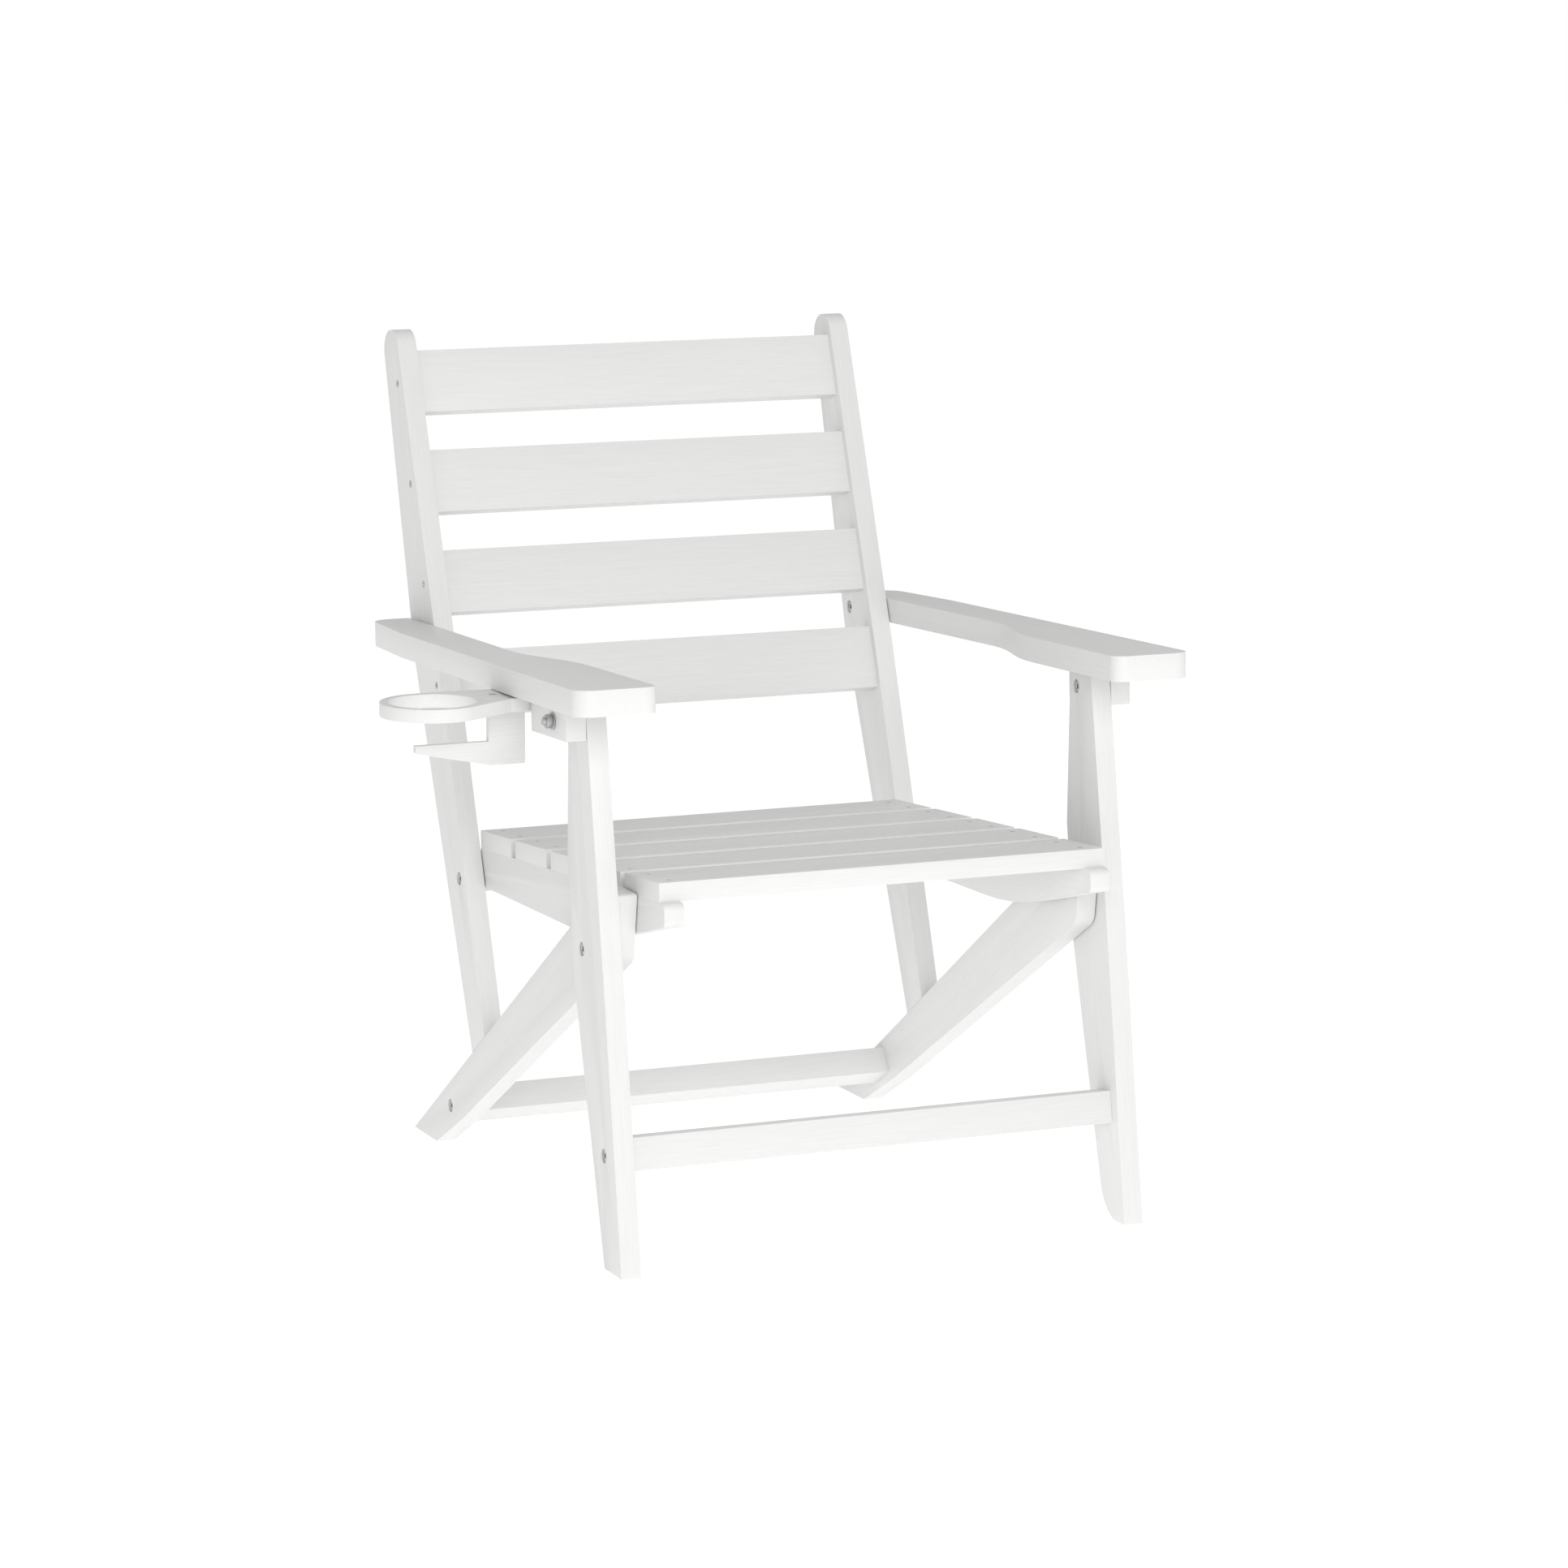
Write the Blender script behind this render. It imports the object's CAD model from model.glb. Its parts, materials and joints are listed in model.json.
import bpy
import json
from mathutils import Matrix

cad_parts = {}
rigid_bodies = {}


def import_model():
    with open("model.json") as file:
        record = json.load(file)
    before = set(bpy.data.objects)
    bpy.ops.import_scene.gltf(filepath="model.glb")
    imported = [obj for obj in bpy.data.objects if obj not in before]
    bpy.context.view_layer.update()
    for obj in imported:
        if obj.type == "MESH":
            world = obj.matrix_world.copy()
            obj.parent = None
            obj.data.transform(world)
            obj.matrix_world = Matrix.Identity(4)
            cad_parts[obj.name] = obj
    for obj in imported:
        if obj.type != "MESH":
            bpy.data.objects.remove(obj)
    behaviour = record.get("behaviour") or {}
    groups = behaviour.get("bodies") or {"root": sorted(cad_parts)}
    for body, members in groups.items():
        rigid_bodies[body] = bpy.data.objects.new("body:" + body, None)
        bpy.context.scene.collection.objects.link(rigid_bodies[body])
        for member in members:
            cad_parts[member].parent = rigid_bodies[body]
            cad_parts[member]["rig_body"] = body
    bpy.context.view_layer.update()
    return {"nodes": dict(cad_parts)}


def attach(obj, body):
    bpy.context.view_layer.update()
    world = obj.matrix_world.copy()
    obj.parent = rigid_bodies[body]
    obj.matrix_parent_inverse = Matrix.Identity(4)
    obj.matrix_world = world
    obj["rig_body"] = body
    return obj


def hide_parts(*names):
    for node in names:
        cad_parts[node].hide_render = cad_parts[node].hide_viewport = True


bl_info = {
    "name": "Folding Adirondack Chair",
    "version": (1, 0, 0),
    "blender": (4, 5, 0),
    "location": "3D View > Sidebar > Chair",
    "description": "Finishes a folding Adirondack chair of white plastic lumber",
    "category": "Object",
}

import json
import math

import bpy
from mathutils import Matrix, Vector

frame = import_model()

# The lean of each kind of board from upright, in degrees, towards the back.
LEANS = {
    "left_back_post": 20.0, "right_back_post": 20.0,
    "left_rear_leg": -58.0, "right_rear_leg": -58.0,
    "left_front_leg": 9.5, "right_front_leg": 9.5,
    "left_seat_rail": 92.0, "right_seat_rail": 92.0,
    "left_arm": 92.1, "right_arm": 92.1,
    "left_arm_block": 92.1, "right_arm_block": 92.1,
}
SEAT = ["left_seat_rail", "right_seat_rail", "seat_slat_1", "seat_slat_2", "seat_slat_3",
        "seat_slat_4", "seat_slat_5", "left_rear_leg", "right_rear_leg", "rear_stretcher"]
BACK = ["left_back_post", "right_back_post", "back_slat_1", "back_slat_2", "back_slat_3",
        "back_slat_4"]
FRONT = ["left_front_leg", "right_front_leg", "front_stretcher"]
LEFT_ARM = ["left_arm", "left_arm_block"]
RIGHT_ARM = ["right_arm", "right_arm_block"]
HOLDER = ["cup_ring", "cup_hook"]
HEADS = ["rear_stretcher_bolts", "seat_pivot_bolts", "leg_pivot_bolts", "arm_pivot_bolts",
         "front_stretcher_bolts", "front_pivot_bolts", "front_pivot_nuts",
         "front_pivot_washers", "back_slat_screws", "cup_ring_screws", "cup_hook_screws",
         "left_block_screws", "right_block_screws", "seat_slat_screws"]
INSIDE = ["rear_stretcher_nuts", "rear_leg_screws", "rear_leg_spacers", "seat_pivot_nuts",
          "seat_pivot_washers", "leg_pivot_nuts", "leg_pivot_washers", "arm_pivot_washers",
          "front_stretcher_nuts", "left_arm_insert", "right_arm_insert"]


# Merging, flattening and smoothing of a CAD copy
MERGE_DISTANCE = 0.000002
FLAT_ANGLE = math.radians(0.05)
BEVEL_ANGLE = math.radians(30)
SMOOTH_ANGLE = math.radians(32)

# The camera's place in metres and its turn in degrees
CAMERA_PLACE = (-2.1976, -5.4386, 1.4804)
CAMERA_YAW = -23.0199
CAMERA_DOWN = 10.1132
CAMERA_ROLL = 0.1073
SENSOR_WIDTH = 36
FAR_CLIP = 200

SOFTBOX_PLACE = (-0.8, -4.2, 2.3)
SOFTBOX_AIM = (0.05, 0.0, 0.45)
SOFTBOX_SIZE = (3.0, 2.0)
FLOOR_GREY = 0.82
FLOOR_GLOW = 0.54


class ChairFinish(bpy.types.PropertyGroup):
    """Sizes and colours of the chair's finish."""

    board_color: bpy.props.FloatVectorProperty(
        name="Board colour", description="Colour of the plastic lumber", subtype="COLOR",
        size=3, min=0, max=1, default=(0.81, 0.81, 0.80))
    grain_tint: bpy.props.FloatProperty(
        name="Grain tint", description="How much darker the grain lines are",
        min=0, max=0.5, default=0.055)
    grain_depth: bpy.props.FloatProperty(
        name="Grain depth", description="Depth of the extruded grain", unit="LENGTH",
        min=0, max=0.002, default=0.00016)
    grain_width: bpy.props.FloatProperty(
        name="Grain width", description="Width of one grain line", unit="LENGTH",
        min=0.0005, max=0.02, default=0.0011)
    grain_length: bpy.props.FloatProperty(
        name="Grain length", description="Length of one grain line", unit="LENGTH",
        min=0.005, max=2, default=0.045)
    board_roughness: bpy.props.FloatProperty(
        name="Board roughness", description="Roughness of the lumber's skin",
        min=0, max=1, default=0.42)
    edge_round: bpy.props.FloatProperty(
        name="Edge rounding", description="Radius of the boards' routed edges",
        unit="LENGTH", min=0.0005, max=0.006, default=0.0024)
    steel_color: bpy.props.FloatVectorProperty(
        name="Steel colour", description="Colour of the stainless fasteners",
        subtype="COLOR", size=3, min=0, max=1, default=(0.55, 0.55, 0.56))
    steel_roughness: bpy.props.FloatProperty(
        name="Steel roughness", description="Roughness of the fasteners",
        min=0, max=1, default=0.30)
    head_round: bpy.props.FloatProperty(
        name="Head rounding", description="Radius of the fasteners' edges",
        unit="LENGTH", min=0.0001, max=0.002, default=0.0005)


class StudioSettings(bpy.types.PropertyGroup):
    """The studio around the chair."""

    lens: bpy.props.FloatProperty(
        name="Lens", description="Focal length of the camera", unit="CAMERA",
        min=20, max=400, default=125.876)
    soft_light: bpy.props.FloatProperty(
        name="Softbox power", description="Power of the large front softbox",
        min=0, max=2000, default=76)
    room_light: bpy.props.FloatProperty(
        name="Room light", description="Strength of the light from all round",
        min=0, max=3, default=0.585)
    floor_size: bpy.props.FloatProperty(
        name="Floor size", description="Width of the floor", unit="LENGTH",
        min=2, max=60, default=30)


class Value:
    """A value in a material's nodes, with arithmetic."""

    def __init__(self, shade, socket):
        self.shade = shade
        self.socket = socket

    def _math(self, operation, first, second):
        return self.shade.node("ShaderNodeMath", {"operation": operation},
                               {0: first, 1: second})

    def __add__(self, other):
        return self._math("ADD", self, other)

    def __radd__(self, other):
        return self._math("ADD", other, self)

    def __sub__(self, other):
        return self._math("SUBTRACT", self, other)

    def __rsub__(self, other):
        return self._math("SUBTRACT", other, self)

    def __mul__(self, other):
        return self._math("MULTIPLY", self, other)

    def __rmul__(self, other):
        return self._math("MULTIPLY", other, self)


class Shade:
    """One material, with a method that adds a node."""

    def __init__(self, name):
        self.material = bpy.data.materials.new(name)
        self.material.use_nodes = True
        self.tree = self.material.node_tree
        self.surface = self.tree.nodes["Principled BSDF"]

    def node(self, kind, settings=None, inputs=None, output=0):
        made = self.tree.nodes.new(kind)
        for name, value in (settings or {}).items():
            setattr(made, name, value)
        for key, value in (inputs or {}).items():
            self.put(made.inputs[key], value)
        return Value(self, made.outputs[output])

    def put(self, socket, value):
        if isinstance(value, Value):
            self.tree.links.new(value.socket, socket)
        else:
            socket.default_value = value

    def to_surface(self, **values):
        for name, value in values.items():
            self.put(self.surface.inputs[name.replace("_", " ")], value)


def lumber(name, lean, across_the_chair):
    """White plastic lumber, its grain along the board."""
    if name in bpy.data.materials:
        return bpy.data.materials[name]
    look = bpy.context.scene.chair_finish
    shade = Shade(name)
    place = shade.node("ShaderNodeTexCoord", output="Object")
    wide, long = look.grain_width, look.grain_length
    size = (long, wide, wide) if across_the_chair else (wide, wide, long)
    along = shade.node(
        "ShaderNodeMapping", {"vector_type": "TEXTURE"},
        {"Vector": place, "Rotation": (math.radians(-lean), 0, 0), "Scale": size})
    lines = shade.node("ShaderNodeTexNoise", {}, {
        "Vector": along, "Scale": 1.0, "Detail": 4.0, "Roughness": 0.62})
    bands = shade.node("ShaderNodeTexNoise", {}, {
        "Vector": along, "Scale": 0.22, "Detail": 2.0, "Roughness": 0.5})
    cloud = shade.node("ShaderNodeTexNoise", {}, {
        "Vector": place, "Scale": 7.0, "Detail": 3.0, "Roughness": 0.55})
    grit = shade.node("ShaderNodeTexNoise", {}, {
        "Vector": place, "Scale": 900.0, "Detail": 2.0, "Roughness": 0.6})
    grain = lines * 0.78 + bands * 0.22
    tone = grain * 0.85 + cloud * 0.15
    white = tuple(look.board_color) + (1.0,)
    dark = tuple(c * (1 - look.grain_tint) for c in look.board_color) + (1.0,)
    spread = shade.node("ShaderNodeMapRange", {}, {
        "Value": tone, "From Min": 0.36, "From Max": 0.62, "To Min": 0.0, "To Max": 1.0})
    color = shade.node("ShaderNodeMix", {"data_type": "RGBA"}, {
        0: spread, 6: dark, 7: white}, output=2)
    rough = look.board_roughness + (grain - 0.5) * 0.30 + (grit - 0.5) * 0.10
    relief = grain * 0.8 + grit * 0.2
    bump = shade.node("ShaderNodeBump", {}, {
        "Height": relief, "Strength": 1.0, "Distance": look.grain_depth})
    shade.to_surface(Base_Color=color, Roughness=rough, Normal=bump)
    shade.surface.inputs["Specular IOR Level"].default_value = 0.45
    return shade.material


def stainless():
    """Stainless steel with fine turning marks."""
    name = "stainless steel"
    if name in bpy.data.materials:
        return bpy.data.materials[name]
    look = bpy.context.scene.chair_finish
    shade = Shade(name)
    place = shade.node("ShaderNodeTexCoord", output="Object")
    marks = shade.node("ShaderNodeTexNoise", {}, {
        "Vector": place, "Scale": 1400.0, "Detail": 3.0, "Roughness": 0.6})
    stain = shade.node("ShaderNodeTexNoise", {}, {
        "Vector": place, "Scale": 260.0, "Detail": 2.0, "Roughness": 0.5})
    light = tuple(look.steel_color) + (1.0,)
    dark = tuple(c * 0.72 for c in look.steel_color) + (1.0,)
    color = shade.node("ShaderNodeMix", {"data_type": "RGBA"}, {
        0: stain, 6: dark, 7: light}, output=2)
    rough = look.steel_roughness + (marks - 0.5) * 0.25
    bump = shade.node("ShaderNodeBump", {}, {
        "Height": marks, "Strength": 0.6, "Distance": 0.00005})
    shade.to_surface(Base_Color=color, Roughness=rough, Normal=bump)
    shade.surface.inputs["Metallic"].default_value = 1.0
    return shade.material


def only(piece):
    """Selects this piece alone and makes it active."""
    bpy.ops.object.select_all(action="DESELECT")
    piece.select_set(True)
    bpy.context.view_layer.objects.active = piece


def worked_copy(node, name, rounding, segments, material):
    """A copy of a CAD node with merged faces and rounded edges, which stands for it."""
    source = frame["nodes"][node]
    piece = bpy.data.objects.new(name, source.data.copy())
    bpy.context.scene.collection.objects.link(piece)
    only(piece)
    bpy.ops.object.mode_set(mode="EDIT")
    bpy.ops.mesh.select_mode(type="VERT")
    bpy.ops.mesh.select_all(action="SELECT")
    bpy.ops.mesh.customdata_custom_splitnormals_clear()
    bpy.ops.mesh.remove_doubles(threshold=MERGE_DISTANCE)
    bpy.ops.mesh.dissolve_limited(angle_limit=FLAT_ANGLE, use_dissolve_boundaries=False)
    bpy.ops.object.mode_set(mode="OBJECT")
    bevel = piece.modifiers.new("rounded edges", "BEVEL")
    bevel.width = rounding
    bevel.segments = segments
    bevel.limit_method = "ANGLE"
    bevel.angle_limit = BEVEL_ANGLE
    bevel.use_clamp_overlap = True
    bpy.ops.object.modifier_apply(modifier=bevel.name)
    bpy.ops.object.shade_smooth_by_angle(angle=SMOOTH_ANGLE)
    piece.data.materials.clear()
    piece.data.materials.append(material)
    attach(piece, source["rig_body"])
    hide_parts(node)
    return piece


def make_board(node):
    look = bpy.context.scene.chair_finish
    if node in LEANS:
        lean = LEANS[node]
        material = lumber("white lumber, grain at %d degrees" % round(lean), lean, False)
    else:
        material = lumber("white lumber, grain across", 0, True)
    return worked_copy(node, node + "_board", look.edge_round, 3, material)


class CHAIR_OT_seat(bpy.types.Operator):
    """Make the seat's rails and slats, with the rear legs"""

    bl_idname = "chair.seat"
    bl_label = "Seat and rear legs"

    def execute(self, context):
        for node in SEAT:
            make_board(node)
        return {"FINISHED"}


class CHAIR_OT_back(bpy.types.Operator):
    """Make the back's posts and slats"""

    bl_idname = "chair.back"
    bl_label = "Back"

    def execute(self, context):
        for node in BACK:
            make_board(node)
        return {"FINISHED"}


class CHAIR_OT_front_legs(bpy.types.Operator):
    """Make the front legs and their stretcher"""

    bl_idname = "chair.front_legs"
    bl_label = "Front legs"

    def execute(self, context):
        for node in FRONT:
            make_board(node)
        return {"FINISHED"}


class CHAIR_OT_arms(bpy.types.Operator):
    """Make both arms and their blocks"""

    bl_idname = "chair.arms"
    bl_label = "Arms"

    def execute(self, context):
        for node in LEFT_ARM + RIGHT_ARM:
            make_board(node)
        return {"FINISHED"}


class CHAIR_OT_cup_holder(bpy.types.Operator):
    """Make the ring and the hook that hold a cup"""

    bl_idname = "chair.cup_holder"
    bl_label = "Cup holder"

    def execute(self, context):
        look = context.scene.chair_finish
        material = lumber("white lumber, grain across", 0, True)
        for node in HOLDER:
            worked_copy(node, node + "_board", look.edge_round * 0.5, 3, material)
        return {"FINISHED"}


class CHAIR_OT_fasteners(bpy.types.Operator):
    """Make the bolts, nuts, washers and screws"""

    bl_idname = "chair.fasteners"
    bl_label = "Fasteners"

    def execute(self, context):
        look = context.scene.chair_finish
        for node in HEADS:
            worked_copy(node, node + "_steel", look.head_round, 2, stainless())
        for node in INSIDE:
            mesh = frame["nodes"][node].data
            mesh.materials.clear()
            mesh.materials.append(stainless())
        return {"FINISHED"}


class CHAIR_OT_stage(bpy.types.Operator):
    """Set up the camera, the floor and the soft light"""

    bl_idname = "chair.stage"
    bl_label = "Stage"

    def execute(self, context):
        studio = context.scene.chair_studio
        bpy.ops.object.select_all(action="DESELECT")
        turn = (Matrix.Rotation(math.radians(CAMERA_YAW), 4, "Z")
                @ Matrix.Rotation(math.radians(90 - CAMERA_DOWN), 4, "X")
                @ Matrix.Rotation(math.radians(CAMERA_ROLL), 4, "Z"))
        bpy.ops.object.camera_add(location=CAMERA_PLACE,
                                  rotation=turn.to_euler())
        camera = context.object
        camera.name = "chair camera"
        camera.data.lens = studio.lens
        camera.data.sensor_width = SENSOR_WIDTH
        camera.data.clip_end = FAR_CLIP
        context.scene.camera = camera

        bpy.ops.mesh.primitive_plane_add(size=studio.floor_size, location=(0, 0, 0))
        floor = context.object
        floor.name = "floor"
        shade = Shade("pale floor")
        shade.surface.inputs["Base Color"].default_value = (FLOOR_GREY,) * 3 + (1,)
        shade.surface.inputs["Roughness"].default_value = 0.9
        shade.surface.inputs["Specular IOR Level"].default_value = 0.0
        shade.surface.inputs["Emission Color"].default_value = (1, 1, 1, 1)
        shade.surface.inputs["Emission Strength"].default_value = FLOOR_GLOW
        floor.data.materials.append(shade.material)

        bpy.ops.object.light_add(type="AREA", location=SOFTBOX_PLACE)
        softbox = context.object
        softbox.name = "front softbox"
        softbox.data.shape = "RECTANGLE"
        softbox.data.size, softbox.data.size_y = SOFTBOX_SIZE
        softbox.data.energy = studio.soft_light
        aim = Vector(SOFTBOX_AIM) - softbox.location
        softbox.rotation_euler = aim.to_track_quat("-Z", "Y").to_euler()

        context.scene.view_settings.view_transform = "Standard"
        world = bpy.data.worlds.new("white room")
        context.scene.world = world
        world.use_nodes = True
        tree = world.node_tree
        plain = tree.nodes["Background"]
        plain.inputs["Color"].default_value = (1, 1, 1, 1)
        plain.inputs["Strength"].default_value = studio.room_light
        backdrop = tree.nodes.new("ShaderNodeBackground")
        backdrop.inputs["Color"].default_value = (1, 1, 1, 1)
        backdrop.inputs["Strength"].default_value = 1.0
        seen = tree.nodes.new("ShaderNodeLightPath")
        mix = tree.nodes.new("ShaderNodeMixShader")
        tree.links.new(seen.outputs["Is Camera Ray"], mix.inputs[0])
        tree.links.new(plain.outputs[0], mix.inputs[1])
        tree.links.new(backdrop.outputs[0], mix.inputs[2])
        tree.links.new(mix.outputs[0], tree.nodes["World Output"].inputs["Surface"])
        return {"FINISHED"}


STEPS = [CHAIR_OT_stage, CHAIR_OT_seat, CHAIR_OT_back, CHAIR_OT_front_legs, CHAIR_OT_arms,
         CHAIR_OT_cup_holder, CHAIR_OT_fasteners]


class CHAIR_PT_panel(bpy.types.Panel):
    """The chair's pieces and finish"""

    bl_idname = "CHAIR_PT_panel"
    bl_label = "Adirondack Chair"
    bl_space_type = "VIEW_3D"
    bl_region_type = "UI"
    bl_category = "Chair"

    def draw(self, context):
        for step in STEPS:
            self.layout.operator(step.bl_idname)
        for group in (context.scene.chair_finish, context.scene.chair_studio):
            box = self.layout.box()
            for name in group.bl_rna.properties.keys():
                if name not in ("rna_type", "name"):
                    box.prop(group, name)


CLASSES = [ChairFinish, StudioSettings] + STEPS + [CHAIR_PT_panel]


def register():
    for cls in CLASSES:
        bpy.utils.register_class(cls)
    bpy.types.Scene.chair_finish = bpy.props.PointerProperty(type=ChairFinish)
    bpy.types.Scene.chair_studio = bpy.props.PointerProperty(type=StudioSettings)


def unregister():
    del bpy.types.Scene.chair_studio
    del bpy.types.Scene.chair_finish
    for cls in reversed(CLASSES):
        bpy.utils.unregister_class(cls)


def main():
    register()
    bpy.ops.chair.stage()
    bpy.ops.chair.seat()
    bpy.ops.chair.back()
    bpy.ops.chair.front_legs()
    bpy.ops.chair.arms()
    bpy.ops.chair.cup_holder()
    bpy.ops.chair.fasteners()


if __name__ == "__main__":
    main()
